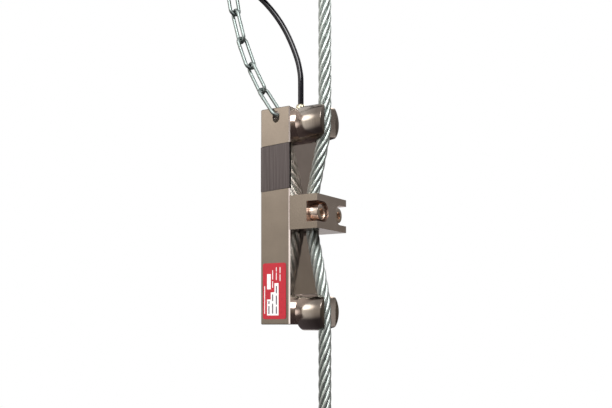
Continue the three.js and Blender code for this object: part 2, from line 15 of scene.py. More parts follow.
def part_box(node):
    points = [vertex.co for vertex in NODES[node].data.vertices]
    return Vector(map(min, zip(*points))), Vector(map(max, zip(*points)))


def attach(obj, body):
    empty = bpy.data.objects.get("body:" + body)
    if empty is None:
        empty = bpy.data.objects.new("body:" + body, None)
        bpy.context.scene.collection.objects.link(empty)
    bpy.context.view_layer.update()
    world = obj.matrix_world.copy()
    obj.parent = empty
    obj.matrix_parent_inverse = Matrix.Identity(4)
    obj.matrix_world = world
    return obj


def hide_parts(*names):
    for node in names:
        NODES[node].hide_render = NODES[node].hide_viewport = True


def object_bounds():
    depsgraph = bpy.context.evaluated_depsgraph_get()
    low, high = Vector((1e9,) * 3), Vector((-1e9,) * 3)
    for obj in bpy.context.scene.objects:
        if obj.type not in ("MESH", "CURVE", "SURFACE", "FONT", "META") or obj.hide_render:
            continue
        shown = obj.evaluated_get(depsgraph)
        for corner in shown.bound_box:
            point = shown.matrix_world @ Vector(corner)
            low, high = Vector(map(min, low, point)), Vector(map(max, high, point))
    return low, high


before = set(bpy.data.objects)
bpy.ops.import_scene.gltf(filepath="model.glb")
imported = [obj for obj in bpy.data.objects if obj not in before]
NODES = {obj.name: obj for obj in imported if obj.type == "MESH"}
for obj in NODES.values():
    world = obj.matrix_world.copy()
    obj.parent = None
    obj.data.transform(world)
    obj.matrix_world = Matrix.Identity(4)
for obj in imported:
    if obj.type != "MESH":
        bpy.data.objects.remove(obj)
cad_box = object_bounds()
MM = 0.001


# ---------- camera ----------
CAMERA_PLACE = Vector((0.3687, -0.6033, -0.092))
CAMERA_AZIMUTH = 31.74  # degrees; the camera is level
CAMERA_LENS = 49.4
CAMERA_SHIFT = 0.197  # the level camera's view sits high on the object


def add_camera():
    data = bpy.data.cameras.new("camera")
    data.lens = CAMERA_LENS
    data.sensor_width = 36
    data.shift_y = CAMERA_SHIFT
    data.clip_start = 0.01
    camera = bpy.data.objects.new("camera", data)
    camera.location = CAMERA_PLACE
    camera.rotation_euler = (math.radians(90), 0, math.radians(CAMERA_AZIMUTH))
    bpy.context.collection.objects.link(camera)
    bpy.context.scene.camera = camera


add_camera()


# ---------- mesh helpers ----------
def new_object(name, mesh, material=None):
    piece = bpy.data.objects.new(name, mesh)
    bpy.context.collection.objects.link(piece)
    if material:
        mesh.materials.append(material)
    return piece


def mesh_from(name, verts, faces, material=None, smooth=True):
    mesh = bpy.data.meshes.new(name)
    mesh.from_pydata([tuple(v) for v in verts], [], faces)
    mesh.validate()
    for polygon in mesh.polygons:
        polygon.use_smooth = smooth
    return new_object(name, mesh, material)


def baked(piece):
    """The piece with its modifiers applied."""
    graph = bpy.context.evaluated_depsgraph_get()
    mesh = bpy.data.meshes.new_from_object(piece.evaluated_get(graph))
    piece.modifiers.clear()
    piece.data = mesh
    return piece


def soften(piece, width):
    """Rounds the edges a little and keeps the flats flat."""
    bevel = piece.modifiers.new("edges", "BEVEL")
    bevel.width = width
    bevel.segments = 2
    bevel.limit_method = "ANGLE"
    bevel.angle_limit = math.radians(32)
    bevel.harden_normals = True


def sharp_smooth(piece, angle=32):
    """Smooth shading that keeps the edges above the angle sharp."""
    mesh = piece.data
    bm = bmesh.new()
    bm.from_mesh(mesh)
    for edge in bm.edges:
        edge.smooth = edge.is_manifold and edge.calc_face_angle(0) < math.radians(angle)
    for face in bm.faces:
        face.smooth = True
    bm.to_mesh(mesh)
    bm.free()
    return piece


def revolve(name, profile, start, along, material, segments=96, keep_open=False):
    """A turned piece: (radius, height) pairs swept round an axis from start."""
    turn = Vector((0, 0, 1)).rotation_difference(Vector(along).normalized()).to_matrix()
    verts, faces, rings = [], [], []
    for radius, height in profile:
        count = segments if radius > 1e-9 else 1
        rings.append(list(range(len(verts), len(verts) + count)))
        for i in range(count):
            angle = 2 * math.pi * i / segments
            point = Vector((radius * math.cos(angle), radius * math.sin(angle), height))
            verts.append(Vector(start) + turn @ point)
    pairs = list(zip(rings, rings[1:])) + ([(rings[-1], rings[0])] if keep_open else [])
    for low, high in pairs:
        for i in range(segments if len(low) + len(high) > 2 else 0):
            j = (i + 1) % segments
            if len(low) == 1:
                faces.append((low[0], high[j], high[i]))
            elif len(high) == 1:
                faces.append((low[i], low[j], high[0]))
            else:
                faces.append((low[i], low[j], high[j], high[i]))
    return sharp_smooth(mesh_from(name, verts, faces, material))


def in_mm(pairs, lift=0.0):
    """Pairs given in millimetres, in metres, the second of each raised by lift."""
    return [(a * MM, b * MM + lift) for a, b in pairs]


def middle_of(node):
    """The middle of a CAD node's box."""
    low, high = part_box(node)
    return (Vector(low) + Vector(high)) / 2


def stands_for(piece, body, slot, *nodes):
    """The piece takes the place of CAD nodes and rides on a body; slot is not used."""
    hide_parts(*nodes)
    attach(piece, body)
    return piece


def frames_along(points, closed=False):
    """Places, tangents and untwisted cross directions along a line of points."""
    points = [Vector(p) for p in points]
    count = len(points)
    tangents = []
    for i in range(count):
        before = points[(i - 1) % count] if closed or i else points[0]
        after = points[(i + 1) % count] if closed or i < count - 1 else points[-1]
        tangents.append((after - before).normalized())
    side = tangents[0].orthogonal().normalized()
    if abs(tangents[0].y) < 0.9:
        side = (Vector((0, 1, 0)) - tangents[0] * tangents[0].y).normalized()
    sides = [side]
    for a, b in zip(tangents, tangents[1:]):
        sides.append((a.rotation_difference(b) @ sides[-1]).normalized())
    return list(zip(points, tangents, sides))


def tube_faces(rows, sides, closed=False):
    """Faces round and along rows of points, with end caps unless the last row joins the first."""
    faces = []
    for i in range(rows if closed else rows - 1):
        low, high = i * sides, (i + 1) % rows * sides
        for k in range(sides):
            m = (k + 1) % sides
            faces.append((low + k, low + m, high + m, high + k))
    if not closed:
        faces += [tuple(reversed(range(sides))), tuple(range((rows - 1) * sides, rows * sides))]
    return faces


def sweep(name, points, radius, sides, material, closed=False):
    """A tube round the line of points: radius(i, angle) gives its radius there."""
    rows = frames_along(points, closed)
    verts = []
    for i, (place, tangent, side) in enumerate(rows):
        other = tangent.cross(side)
        for k in range(sides):
            angle = 2 * math.pi * k / sides
            verts.append(place + (side * math.cos(angle) + other * math.sin(angle)) * radius(i, angle))
    return mesh_from(name, verts, tube_faces(len(rows), sides, closed), material)


def joined(name, pieces):
    """Several meshes as one piece, with all their materials."""
    mesh = bpy.data.meshes.new(name)
    bm = bmesh.new()
    for piece in pieces:
        start = len(bm.faces)
        slot = len(mesh.materials)
        for material in piece.data.materials:
            mesh.materials.append(material)
        bm.from_mesh(piece.data)
        bm.faces.ensure_lookup_table()
        for face in bm.faces[start:]:
            face.material_index += slot
    bm.to_mesh(mesh)
    bm.free()
    for piece in pieces:
        bpy.data.objects.remove(piece)
    return new_object(name, mesh)


def curve_through(points, step):
    """Evenly spaced points on a centripetal Catmull-Rom curve."""
    points = [Vector(p) for p in points]
    padded = [points[0] * 2 - points[1], *points, points[-1] * 2 - points[-2]]
    dense = []
    for p0, p1, p2, p3 in zip(padded, padded[1:], padded[2:], padded[3:]):
        t1 = (p1 - p0).length ** 0.5
        t2 = t1 + (p2 - p1).length ** 0.5
        t3 = t2 + (p3 - p2).length ** 0.5
        for k in range(24):
            t = t1 + (t2 - t1) * k / 24
            a1 = p0 * ((t1 - t) / t1) + p1 * (t / t1)
            a2 = p1 * ((t2 - t) / (t2 - t1)) + p2 * ((t - t1) / (t2 - t1))
            a3 = p2 * ((t3 - t) / (t3 - t2)) + p3 * ((t - t2) / (t3 - t2))
            b1 = a1 * ((t2 - t) / t2) + a2 * (t / t2)
            b2 = a2 * ((t3 - t) / (t3 - t1)) + a3 * ((t - t1) / (t3 - t1))
            dense.append(b1 * ((t2 - t) / (t2 - t1)) + b2 * ((t - t1) / (t2 - t1)))
    dense.append(points[-1])
    return evenly(dense, step)


def evenly(dense, step):
    lengths = [0.0]
    for a, b in zip(dense, dense[1:]):
        lengths.append(lengths[-1] + (b - a).length)
    count = max(2, round(lengths[-1] / step))
    result, k = [], 0
    for i in range(count + 1):
        wanted = lengths[-1] * i / count
        while k < len(lengths) - 2 and lengths[k + 1] < wanted:
            k += 1
        span = lengths[k + 1] - lengths[k]
        result.append(dense[k].lerp(dense[k + 1], (wanted - lengths[k]) / span if span else 0))
    return result


# ---------- materials ----------
def material_of(name, color, metallic=0.0, roughness=0.4, coat=0.0, sheen=0.0):
    material = bpy.data.materials.new(name)
    material.use_nodes = True
    shader = material.node_tree.nodes["Principled BSDF"]
    shader.inputs["Base Color"].default_value = (*color, 1)
    shader.inputs["Metallic"].default_value = metallic
    shader.inputs["Roughness"].default_value = roughness
    shader.inputs["Coat Weight"].default_value = coat
    shader.inputs["Sheen Weight"].default_value = sheen
    return material


class Nodes:
    """Short calls for the node tree of a material, or of the world."""

    def __init__(self, owner, shader="Principled BSDF", place="Object"):
        self.tree = owner.node_tree
        self.shader = self.tree.nodes[shader]
        self.place = self.add("TexCoord", place)

    def add(self, kind, output, values=None, **settings):
        """A node's output, after its settings and then its inputs, each a link or a plain value."""
        node = self.tree.nodes.new("ShaderNode" + kind)
        for name, value in settings.items():
            setattr(node, name, value)
        for socket, value in (values or {}).items():
            if isinstance(value, bpy.types.NodeSocket):
                self.tree.links.new(value, node.inputs[socket])
            else:
                node.inputs[socket].default_value = value
        return node.outputs[output]

    def noise(self, scale, detail=3.0, stretch=None):
        place = self.place
        if stretch:
            place = self.add("Mapping", "Vector", {"Vector": place, "Scale": stretch})
        values = {"Vector": place, "Scale": scale, "Detail": detail, "Roughness": 0.55}
        return self.add("TexNoise", "Fac", values)

    def wave(self, scale, direction, distortion):
        values = {"Vector": self.place, "Scale": scale, "Distortion": distortion}
        return self.add("TexWave", "Fac", values, bands_direction=direction)

    def ramp(self, value, low, high, from_low=0.0, from_high=1.0):
        values = {"Value": value, "From Min": from_low, "From Max": from_high, "To Min": low, "To Max": high}
        return self.add("MapRange", "Result", values)

    def colors(self, value, stops):
        node = self.tree.nodes.new("ShaderNodeValToRGB")
        band = node.color_ramp
        while len(band.elements) < len(stops):
            band.elements.new(0.5)
        for element, (position, color) in zip(band.elements, stops):
            element.position = position
            element.color = (*color, 1)
        self.tree.links.new(value, node.inputs["Fac"])
        return node.outputs["Color"]

    def math(self, kind, a, b=0.0):
        return self.add("Math", "Value", {0: a, 1: b}, operation=kind)

    def weighted(self, a, b, share):
        """The sum of two patterns, the second with the given share."""
        return self.math("ADD", self.math("MULTIPLY", a, 1 - share), self.math("MULTIPLY", b, share))

    def mix(self, factor, a, b, blend="MIX"):
        return self.add("Mix", 2, {"Factor": factor, 6: a, 7: b}, data_type="RGBA", blend_type=blend)

    def bump(self, height, strength, distance=0.0002):
        values = {"Strength": strength, "Distance": distance, "Height": height}
        self.set("Normal", self.add("Bump", "Normal", values))

    def set(self, socket, output):
        self.tree.links.new(output, self.shader.inputs[socket])


def tinted(color, amount):
    """The colour made lighter or darker."""
    return tuple(min(1.0, c * amount) for c in color)


def brushed_metal(name, color, roughness, stretch, variation, bump):
    """Metal with fine lines along the axis where stretch is small, and faint soft blotches."""
    material = material_of(name, color, 1.0, roughness)
    nodes = Nodes(material)
    lines = nodes.noise(1.0, 4.0, stretch)
    both = nodes.weighted(lines, nodes.noise(45.0), 0.35)
    nodes.set("Base Color", nodes.colors(both, [
        (0.3, tinted(color, 1 - variation)), (0.5, color), (0.72, tinted(color, 1 + variation))]))
    nodes.set("Roughness", nodes.ramp(lines, roughness * 0.8, roughness * 1.25, 0.3, 0.7))
    nodes.bump(lines, bump)
    return material


# ---------- surroundings ----------
ROOM_BANDS = (  # from straight down to straight up
    (0.2, (0.07, 0.06, 0.065)), (0.44, (0.1, 0.085, 0.085)), (0.5, (0.19, 0.172, 0.138)),
    (0.62, (0.2, 0.19, 0.18)), (0.85, (0.62, 0.61, 0.6)),
)
PANELS = (  # towards, full and fading half angles in degrees, light
    ((0.87, -0.49, 0.0), 6, 16, (2.1, 2.1, 2.15)),
    ((-0.526, 0.85, -0.04), 7, 20, (0.8, 0.76, 0.76)),
    ((-0.526, -0.72, 0.42), 5, 17, (3.0, 2.9, 2.75)),
    ((-0.526, -0.85, 0.05), 10, 46, (0.66, 0.64, 0.6)),
)


def add_world():
    """White behind the object. Its reflections see a dim room with a few soft bright panels."""
    world = bpy.data.worlds.new("studio")
    bpy.context.scene.world = world
    world.use_nodes = True
    nodes = Nodes(world, "Background", "Generated")
    height = nodes.ramp(nodes.add("SeparateXYZ", "Z", {0: nodes.place}), 0.0, 1.0, -1.0, 1.0)
    total = nodes.colors(height, ROOM_BANDS)
    for toward, full, edge, color in PANELS:
        facing = nodes.add("VectorMath", "Value", {0: nodes.place, 1: Vector(toward).normalized()},
                           operation="DOT_PRODUCT")
        values = {"Value": facing, "From Min": math.cos(math.radians(edge)),
                  "From Max": math.cos(math.radians(full))}
        fade = nodes.add("MapRange", "Result", values, interpolation_type="SMOOTHSTEP")
        total = nodes.mix(fade, total, (*color, 1), "ADD")
    nodes.set("Color", nodes.mix(nodes.add("LightPath", "Is Camera Ray"), total, (1, 1, 1, 1)))


def add_light(name, place, target, size, power, color=(1, 1, 1)):
    data = bpy.data.lights.new(name, "AREA")
    data.shape = "RECTANGLE"
    data.size, data.size_y = size
    data.energy = power
    data.color = color
    light = bpy.data.objects.new(name, data)
    light.location = place
    light.rotation_euler = (Vector(target) - Vector(place)).to_track_quat("-Z", "Y").to_euler()
    bpy.context.collection.objects.link(light)
    light.visible_camera = False


def add_floor():
    """A pale round floor well below the lower eye."""
    low = cad_box[0][2] - 0.05
    bm = bmesh.new()
    bmesh.ops.create_circle(bm, cap_ends=True, segments=96, radius=1.1)
    mesh = bpy.data.meshes.new("floor")
    bm.to_mesh(mesh)
    bm.free()
    floor = new_object("floor", mesh, material_of("floor_paint", (0.86, 0.86, 0.85), 0, 0.7))
    floor.location = (0, 0, low)
    floor.visible_glossy = False  # the metal mirrors the dim room instead


bpy.context.scene.view_settings.view_transform = "Standard"
add_world()
add_floor()
add_light("key", (0.5, -1.1, 0.9), (0, 0, 0), (0.7, 0.7), 16)
add_light("rear", (0.1, 1.2, 0.9), (0, 0, 0), (1.0, 0.6), 6)


# ---------- cords: the rope ----------
ROPE_DIAMETER = 10.4 * MM
ROPE_ROUTE = [
    (14, 0, -170), (14, 0, -145), (14, 0, -120), (14, 0, -100), (14, 0, -88), (13.9, 0, -80),
    (13.5, 0, -73.5), (12.5, 0, -67.5), (9.85, 0, -54.5), (7.1, 0, -41.3), (4.3, 0, -27.7),
    (1.45, 0, -14), (0.37, 0, -7), (0, 0, 0), (0.4, 0, 7), (1.55, 0, 14), (4.75, 0, 28.3),
    (7.95, 0, 42.6), (10.85, 0, 55.5), (12.4, 0, 62.5), (13.45, 0, 68.5), (13.9, 0, 75),
    (14, 0, 83), (14, 0, 96), (14, 0, 120), (14, 0, 150), (14, 0, 190),
]
ROPE_LAY = 62 * MM  # one turn of a strand
WIRE_LAY = 28.6 * MM  # one turn of a wire in its strand
STRANDS = 6
CORE_RADIUS = 1.9 * MM
OUTER_WIRES = 12  # showing on each strand
WIRE_SAMPLES = 4


def helix_rows(points):
    """Each point with its two cross directions and the distance travelled to it."""
    rows, travelled = [], 0.0
    for place, tangent, side in frames_along(points):
        if rows:
            travelled += (place - rows[-1][0]).length
        rows.append((place, side, tangent.cross(side), travelled))
    return rows


def rope_strand(path, start_angle, material):
    """One strand: a helix round the rope's line, its outer wires laid the other way."""
    strand_radius = ROPE_DIAMETER * 0.169
    helix_radius = ROPE_DIAMETER * 0.35
    centres = []
    for place, side, other, travelled in helix_rows(path):
        angle = start_angle + 2 * math.pi * travelled / ROPE_LAY
        centres.append(place + (side * math.cos(angle) + other * math.sin(angle)) * helix_radius)
    sides = OUTER_WIRES * WIRE_SAMPLES
    verts = []
    for place, side, other, travelled in helix_rows(centres):
        twist = -2 * math.pi * travelled / WIRE_LAY
        for k in range(sides):
            angle = 2 * math.pi * k / sides
            crest = abs(math.sin(OUTER_WIRES * angle / 2))
            reach = strand_radius * (0.9 + 0.115 * crest ** 0.7)
            verts.append(place + (side * math.cos(angle + twist) + other * math.sin(angle + twist)) * reach)
    return mesh_from("strand", verts, tube_faces(len(centres), sides), material)


def rope_steel():
    material = material_of("galvanised_wire", (0.66, 0.71, 0.68), 1.0, 0.3)
    nodes = Nodes(material)
    nodes.set("Base Color", nodes.colors(nodes.noise(260.0, 4.0), [
        (0.3, (0.4, 0.45, 0.425)), (0.52, (0.54, 0.59, 0.565)), (0.75, (0.64, 0.69, 0.665))]))
    nodes.set("Roughness", nodes.ramp(nodes.noise(900.0, 2.0), 0.22, 0.42))
    nodes.bump(nodes.noise(5000.0, 2.0), 0.12, 0.0001)
    return material


def add_rope():
    path = curve_through([Vector(p) * MM for p in ROPE_ROUTE], 1.0 * MM)
    steel = rope_steel()
    strands = [rope_strand(path, 0.35 + 2 * math.pi * k / STRANDS, steel) for k in range(STRANDS)]
    # Painted shade: the core is near black so that the gaps between the strands look shaded.
    core_painted_shade = material_of("rope_core_painted_shade", (0.06, 0.07, 0.065), 1.0, 0.6)
    nodes = Nodes(core_painted_shade)
    nodes.bump(nodes.noise(1500.0), 0.2)
    core = sweep("core", path[::3] + [path[-1]], lambda i, angle: CORE_RADIUS, 12, core_painted_shade)
    rope = joined("stranded_rope", strands + [core])
    return stands_for(rope, "load_cell", "rope", "wire_rope"), path


# ---------- cords: the signal cable ----------
CABLE_DIAMETER = 5 * MM
CABLE_ROUTE = [
    (-20, 16.5, 77), (-20, 16.5, 90), (-20, 16.5, 103), (-20, 16.5, 114), (-20.3, 16.5, 125),
    (-22.3, 16.3, 136), (-26, 15.8, 147), (-30.6, 15, 158), (-35.6, 14, 168), (-41.6, 12.4, 178),
    (-48.6, 10, 187.8), (-56, 7, 196.4), (-62.2, 4.4, 201.6), (-68, 2, 206.6),
]
TAIL_ROUTE = [
    (-21.4, 0, 279.8), (-16.4, 1, 278), (-12, 4.2, 276.5), (-9.6, 9.2, 275.2), (-9, 14.6, 272),
    (-9, 18.2, 266.4), (-9, 18.8, 260), (-9, 18.8, 253.3),
]
COIL_PITCH = 5.13 * MM
COIL_STEP = 0.22  # the part of a turn in which it moves on to the next cell
COIL_ENTRY = 2 * math.pi / 9  # the angle in which it joins the cable at each end
COIL_COLUMNS = (4, 4, 4, 2)  # turns stacked in each column, from the rear to the front


def coil_cells(mean_radius):
    """The (radius, y) of each turn: down one column and up the next, ending on the outside."""
    cells = []
    for column, count in enumerate(COIL_COLUMNS):
        y = (1.5 - column) * COIL_PITCH
        layers = [1.5, 0.5, -0.5, -1.5] if column % 2 == 0 else [-1.5, -0.5, 0.5, 1.5]
        cells += [(mean_radius + layer * COIL_PITCH, y) for layer in layers[4 - count:]]
    return cells


def eased(value):
    """The value held between 0 and 1, with a soft start and end."""
    value = min(1.0, max(0.0, value))
    return value * value * (3 - 2 * value)


def coil_path(start, end):
    """The coil's turns, from where the cable comes up to where its tail leaves."""
    low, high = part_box("cable_coil")
    centre = middle_of("cable_coil")
    cells = coil_cells((high[0] - low[0]) / 2 - (high[1] - low[1]) / 2)

    def polar(point):
        away = point - centre
        return math.atan2(away.z, away.x), math.hypot(away.x, away.z), away.y

    start_angle, *first = polar(start)
    end_angle, *last = polar(end)
    total = 2 * math.pi * len(cells) + (start_angle - end_angle) % (2 * math.pi)
    points, steps = [], round(total / (2 * math.pi) * 60)
    for i in range(1, steps):
        travelled = total * i / steps
        turn = travelled / (2 * math.pi)
        index = min(int(turn), len(cells) - 1)
        here, following = Vector(cells[index]), Vector(cells[min(index + 1, len(cells) - 1)])
        cell = here.lerp(following, eased((turn - index - 1) / COIL_STEP + 1))
        for near, far in ((travelled, first), (total - travelled, last)):
            cell = cell.lerp(Vector(far), eased(1 - near / COIL_ENTRY))
        angle = start_angle - travelled
        points.append(centre + Vector((cell.x * math.cos(angle), cell.y, cell.x * math.sin(angle))))
    return points


def cable_sheath():
    material = material_of("cable_sheath", (0.003, 0.003, 0.006), 0, 0.12)
    nodes = Nodes(material)
    nodes.set("Base Color", nodes.colors(nodes.noise(120.0), [
        (0.3, (0.002, 0.002, 0.005)), (0.7, (0.005, 0.004, 0.009))]))
    nodes.set("Roughness", nodes.ramp(nodes.noise(600.0), 0.08, 0.16))
    nodes.bump(nodes.noise(900.0, 2.0), 0.012)
    return material


def add_cable():
    up = curve_through([Vector(p) * MM for p in CABLE_ROUTE], 3 * MM)
    tail = curve_through([Vector(p) * MM for p in TAIL_ROUTE], 2 * MM)
    path = evenly(up + coil_path(up[-1], tail[0]) + tail, 2.8 * MM)
    cable = sweep("signal_lead", path, lambda i, angle: CABLE_DIAMETER / 2, 16, cable_sheath())
    return stands_for(cable, "load_cell", "cable", "signal_cable", "cable_coil", "cable_tail"), path


rope, rope_path = add_rope()
cable, cable_path = add_cable()


# ---------- metals and prints of the CAD pieces ----------
BAR_COLOR = (0.235, 0.198, 0.165)


def bar_steel(name, roughness=0.3, side_roughness=0.07):
    """Satin steel with upright lines. Faces across the X axis are smoother, and painted paler to brighten
    their reflections.
    """
    upright = (9000, 9000, 260)
    material = brushed_metal(name, BAR_COLOR, roughness, upright, 0.07, 0.04)
    nodes = Nodes(material)
    facing = nodes.add("SeparateXYZ", "X", {0: nodes.add("TexCoord", "Normal")})
    # Mask of the faces across the X axis: they get a smoother roughness and a painted paler colour.
    painted_bright = nodes.ramp(nodes.math("ABSOLUTE", facing), 0.0, 1.0, 0.5, 0.9)
    satin = nodes.ramp(nodes.noise(1.0, 4.0, upright), roughness * 0.85, roughness * 1.2, 0.3, 0.7)
    polish = nodes.ramp(nodes.noise(90.0, 4.0), side_roughness * 0.7, side_roughness * 1.4, 0.3, 0.7)
    nodes.set("Roughness", nodes.add("Mix", 0, {"Factor": painted_bright, "A": satin, "B": polish}))
    front = nodes.colors(nodes.noise(38.0, 4.0), [
        (0.3, tinted(BAR_COLOR, 0.93)), (0.7, tinted(BAR_COLOR, 1.08))])
    # Painted reflection: the faces across X get this paler copy of the steel's colour so that they mirror
    # brighter.
    side = nodes.colors(nodes.noise(60.0), [(0.3, (0.67, 0.575, 0.54)), (0.7, (0.75, 0.65, 0.61))])
    nodes.set("Base Color", nodes.mix(painted_bright, front, side))
    return material


def turned_steel(name, color, painted_bright, roughness):
    """Steel with fine rings round the X axis, with a painted highlight: paler towards its shoulder on the
    bar.
    """
    rings = (2400, 60, 60)
    material = brushed_metal(name, color, roughness, rings, 0.12, 0.03)
    nodes = Nodes(material)
    nodes.set("Roughness", nodes.ramp(nodes.wave(900, "X", 0.6), roughness * 0.85, roughness * 1.15))
    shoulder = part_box("load_cell_body")[1][0]
    along = nodes.add("SeparateXYZ", "X", {0: nodes.place})
    # Painted highlight: the pale tone at the shoulder fades into the darker tone further out.
    outward = nodes.ramp(along, 0.0, 1.0, shoulder + 3 * MM, shoulder + 19 * MM)
    grain = nodes.noise(1.0, 4.0, rings)
    shades = [nodes.colors(grain, [(0.3, tinted(tone, 0.9)), (0.7, tinted(tone, 1.08))])
              for tone in (painted_bright, color)]
    nodes.set("Base Color", nodes.mix(outward, *shades))
    return material


def paint_cad(node, material, bevel=0.0):
    """A CAD node whose shape is right, with a finer material and slightly rounded edges."""
    piece = NODES[node]
    for slot in piece.material_slots:
        slot.link = "OBJECT"
        slot.material = material
    if bevel:
        soften(piece, bevel)


def cover_metal():
    """Dark plate with upright lines."""
    material = material_of("cover_plate", (0.1, 0.085, 0.085), 1.0, 0.42)
    nodes = Nodes(material)
    fine, broad = nodes.noise(1.0, 3.0, (3200, 3200, 30)), nodes.noise(1.0, 2.0, (1500, 1500, 14))
    lines = nodes.weighted(fine, broad, 0.55)
    nodes.set("Base Color", nodes.colors(lines, [
        (0.32, (0.06, 0.05, 0.051)), (0.5, (0.1, 0.086, 0.087)), (0.68, (0.16, 0.14, 0.138))]))
    nodes.set("Roughness", nodes.ramp(lines, 0.3, 0.5, 0.3, 0.7))
    nodes.bump(lines, 0.3)
    return material


def mottled(name, color, metallic, roughness, scale, variation=0.2, bump=0.1, coat=0.0):
    """A colour with small changes of shade, and a fine grain."""
    material = material_of(name, color, metallic, roughness, coat)
    nodes = Nodes(material)
    grain = nodes.noise(scale, 4.0)
    nodes.set("Base Color", nodes.colors(grain, [
        (0.3, tinted(color, 1 - variation)), (0.52, color), (0.74, tinted(color, 1 + variation))]))
    nodes.set("Roughness", nodes.ramp(grain, roughness * 0.8, roughness * 1.2, 0.3, 0.7))
    nodes.bump(nodes.noise(scale * 4), bump)
    return material


bar_material = bar_steel("bar_steel")
cap_material = bar_steel("cap_steel", roughness=0.27, side_roughness=0.2)
# The second colour is the post's painted highlight next to the bar.
post_material = turned_steel("post_steel", (0.27, 0.23, 0.2), (0.7, 0.63, 0.56), 0.19)
screw_material = mottled("screw_steel", (0.78, 0.66, 0.58), 1.0, 0.2, 300, 0.15, 0.04)
# Painted reflection: the cap's counterbores and their slots get a paler, warmer copy of the steel so that
# they look bright.
bore_painted_light = mottled("bore_steel_painted_light", (0.68, 0.55, 0.48), 1.0, 0.32, 300, 0.15, 0.05)
sleeve_material = mottled("sleeve_steel", (0.5, 0.5, 0.49), 1.0, 0.3, 160, 0.14, 0.12)
zinc_material = mottled("zinc", (0.29, 0.335, 0.325), 1.0, 0.4, 90, 0.14, 0.02)
gland_material = mottled("gland_plating", (0.62, 0.56, 0.42), 1.0, 0.28, 260, 0.1, 0.06)
black_plastic = mottled("black_plastic", (0.02, 0.02, 0.023), 0.0, 0.42, 320, 0.25, 0.25)
nut_material = mottled("nut_plating", (0.6, 0.6, 0.6), 1.0, 0.25, 260, 0.12, 0.06)

paint_cad("load_cell_body", bar_material, 0.2 * MM)
paint_cad("gauge_cover", cover_metal(), 0.4 * MM)
paint_cad("cover_seal", mottled("seal_rubber", (0.02, 0.02, 0.022), 0, 0.7, 500, 0.2, 0.3))
for number in range(1, 5):
    foil = mottled(f"gauge_foil_{number}", (0.5, 0.25, 0.06), 0, 0.4, 700, 0.25, 0.1)
    paint_cad(f"strain_gauge_{number}", foil, 0.08 * MM)
paint_cad("terminal_board", mottled("board_laminate", (0.03, 0.14, 0.06), 0, 0.4, 600, 0.2, 0.15), 0.1 * MM)
paint_cad("signal_cores", mottled("core_sleeving", (0.5, 0.45, 0.36), 0, 0.5, 900, 0.12, 0.15))
for side in ("upper", "lower"):
    paint_cad(f"{side}_post_washer", screw_material, 0.1 * MM)
    paint_cad(f"{side}_post_screw", screw_material, 0.15 * MM)


# ---------- posts ----------
GROOVE_WALL = 5.5 * MM  # from the rope's line to the groove's sides
GROOVE_HALF_ANGLE = math.radians(30)


def cutter(name, target, tool):
    """Cuts tool out of target and removes it."""
    modifier = target.modifiers.new(name, "BOOLEAN")
    modifier.operation = "DIFFERENCE"
    modifier.solver = "EXACT"
    modifier.material_mode = "TRANSFER"
    modifier.object = tool
    baked(target)
    mesh = tool.data
    bpy.data.objects.remove(tool)
    bpy.data.meshes.remove(mesh)
    return target


def chamfered(piece, width, segments, angle):
    """The piece with its edges cut back, and flats that stay flat."""
    bevel = piece.modifiers.new("edges", "BEVEL")
    bevel.width = width
    bevel.segments = segments
    bevel.limit_method = "ANGLE"
    bevel.angle_limit = math.radians(40)
    sharp_smooth(baked(piece), angle)


def rope_points(low, high):
    return [p for p in curve_through([Vector(p) * MM for p in ROPE_ROUTE], 1.5 * MM) if low <= p.z <= high]


def prism_along(name, points, section):
    """A closed bar: (out, across) points carried along the rope, out towards +X."""
    verts = []
    for place, tangent, side in frames_along(points):
        out = side.cross(tangent)
        out = out if out.x > 0 else -out
        verts += [place + out * u + Vector((0, 1, 0)) * v for u, v in section]
    faces = tube_faces(len(points), len(section))
    piece = mesh_from(name, verts, faces, smooth=False)
    bm = bmesh.new()
    bm.from_mesh(piece.data)
    bmesh.ops.recalc_face_normals(bm, faces=bm.faces)
    bm.to_mesh(piece.data)
    bm.free()
    return piece


def add_post(node):
    """A turned post with its rope groove, and the spigot that goes into the bar."""
    low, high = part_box(node)
    middle = middle_of(node)
    radius = (high[2] - low[2]) / 2
    spigot = 7 * MM
    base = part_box("load_cell_body")[1][0] + 0.03 * MM
    length = high[0] - base
    rim = 0.5 * MM
    inner = low[0] - base
    profile = [(0, inner), (spigot - 0.6 * MM, inner), (spigot, inner + 0.6 * MM), (spigot, 0),
               (radius, 0), (radius, length - rim * 1.4),
               (radius - rim * 0.4, length - rim * 0.5), (radius - rim * 1.3, length), (0, length)]
    piece = revolve("turned_" + node, profile, (base, 0, middle.z), (1, 0, 0), post_material, 144)
    apex = -GROOVE_WALL / math.sin(GROOVE_HALF_ANGLE)
    mouth = 10 * MM
    slope = math.tan(GROOVE_HALF_ANGLE)
    root = 0.9 * MM
    wide = (mouth - apex) * slope
    floor = apex + root / slope
    section = [(apex + root / slope * 0.6, 0), (floor, -root * 0.8), (mouth, -wide), (mouth, wide),
               (floor, root * 0.8)]
    groove = prism_along("groove", rope_points(middle.z - 26 * MM, middle.z + 26 * MM), section)
    groove.data.materials.append(post_material)
    cutter("groove", piece, groove)
    chamfered(piece, 0.25 * MM, 2, 35)
    stands_for(piece, "load_cell", "post", node)


for post in ("upper_post", "lower_post"):
    add_post(post)


# ---------- clamp cap and its screws ----------
def block(name, low, high, material=None):
    bm = bmesh.new()
    bmesh.ops.create_cube(bm, size=1)
    for vert in bm.verts:
        vert.co = Vector([(a + b) / 2 + c * (b - a) for a, b, c in zip(low, high, vert.co)])
    mesh = bpy.data.meshes.new(name)
    bm.to_mesh(mesh)
    bm.free()
    return new_object(name, mesh, material)


SCREW_YS = {"clamp_screw_front": -14 * MM, "clamp_screw_rear": 14 * MM}
COUNTERBORE_RADIUS = 8.3 * MM
COUNTERBORE_DEPTH = 10.1 * MM


